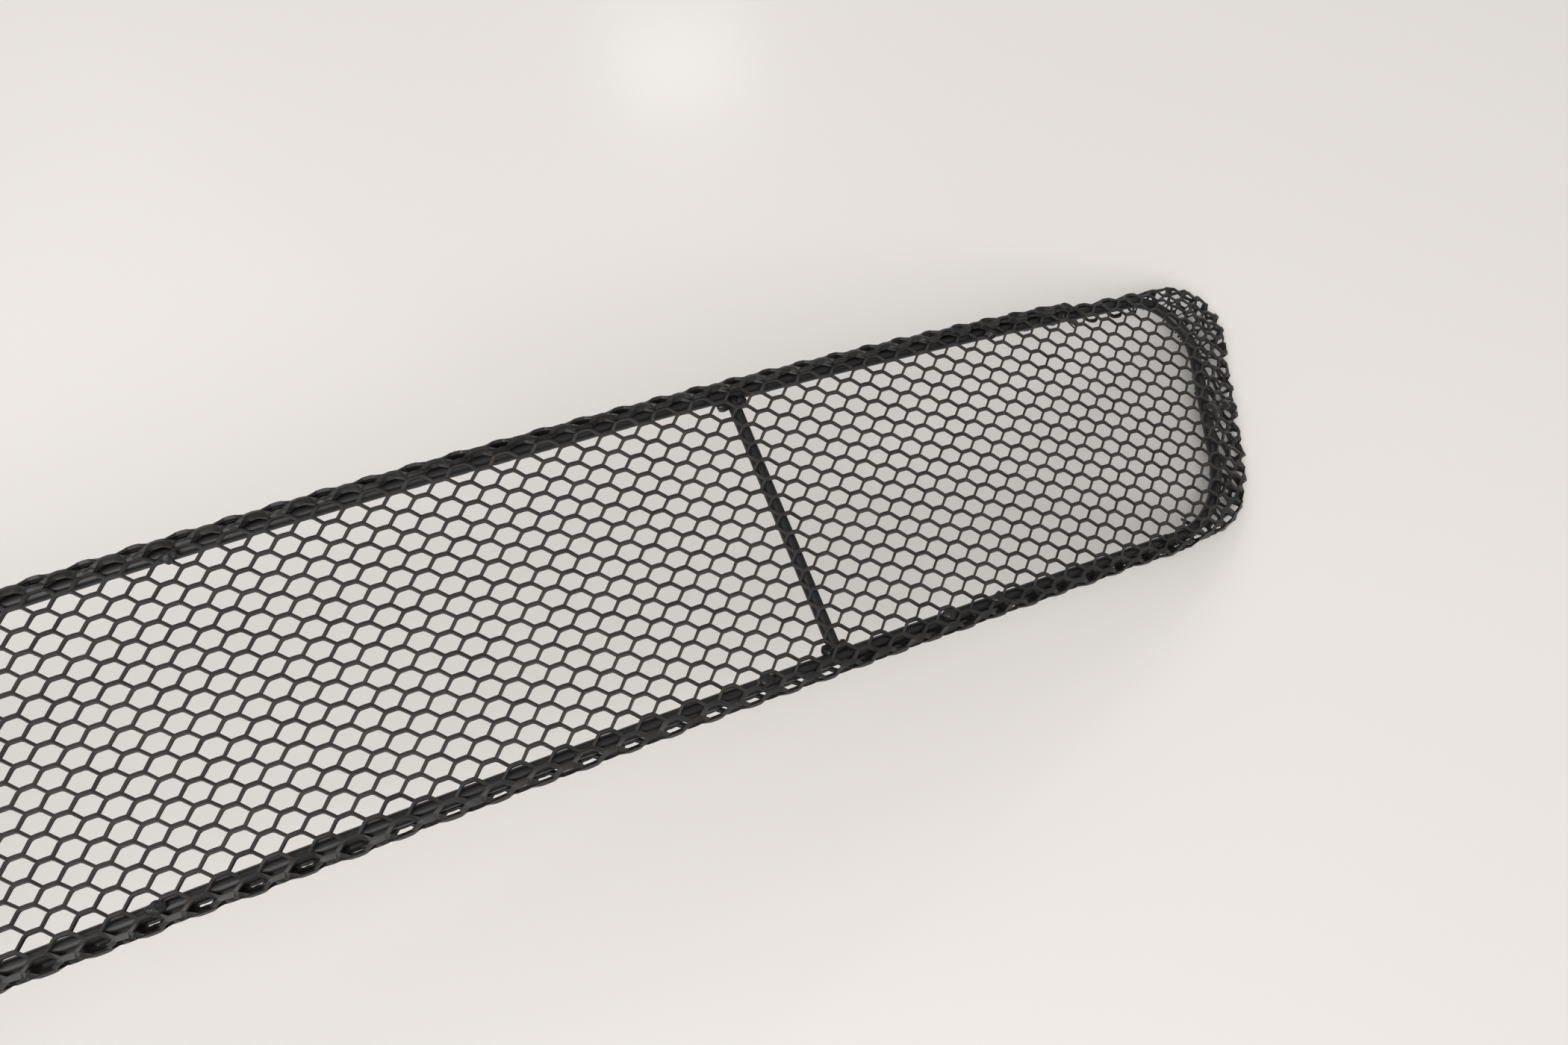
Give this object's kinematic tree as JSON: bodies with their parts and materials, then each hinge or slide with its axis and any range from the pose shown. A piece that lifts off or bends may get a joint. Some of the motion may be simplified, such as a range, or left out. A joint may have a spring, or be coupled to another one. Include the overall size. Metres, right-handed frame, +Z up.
{
  "type": "mesh grille",
  "caption": "Bowed bumper grille insert: a bent-rod frame with cross braces under black hexagonal expanded mesh, folded around the rails and out past both slanted ends.",
  "frame": {"origin": "middle of the grille's length and width, on the table that it lies on, face up, with the folds of both end flanges flat on the table", "axes": "+X along the grille's length, +Y across it towards its longer rail, +Z up, out of the bowed front face (the face leans 9.2 degrees so that both end flanges lie flat)"},
  "size_m": [1.0104, 0.1101, 0.1192],
  "materials": {
    "frame": "black powder coat, low satin, fine grain, over round steel rod",
    "mesh": "black powder coat, satin, thinner and lighter along the strand edges",
    "weld": "black powder coat over lumpy weld beads"
  },
  "bodies": {
    "root": {"upper_rail": "frame", "lower_rail": "frame", "left_end_rod": "frame", "right_end_rod": "frame", "left_upper_butt_weld": "weld", "left_lower_butt_weld": "weld", "right_upper_butt_weld": "weld", "right_lower_butt_weld": "weld", "left_brace": "frame", "centre_brace": "frame", "right_brace": "frame", "left_brace_upper_weld": "weld", "left_brace_lower_weld": "weld", "centre_brace_upper_weld": "weld", "centre_brace_lower_weld": "weld", "right_brace_upper_weld": "weld", "right_brace_lower_weld": "weld", "mesh_panel": "mesh", "upper_hem": "mesh", "lower_hem": "mesh", "left_end_flange": "mesh", "right_end_flange": "mesh", "upper_tack_welds": "weld", "lower_tack_welds": "weld", "left_flange_tack_welds": "weld", "right_flange_tack_welds": "weld"}
  },
  "joints": []
}
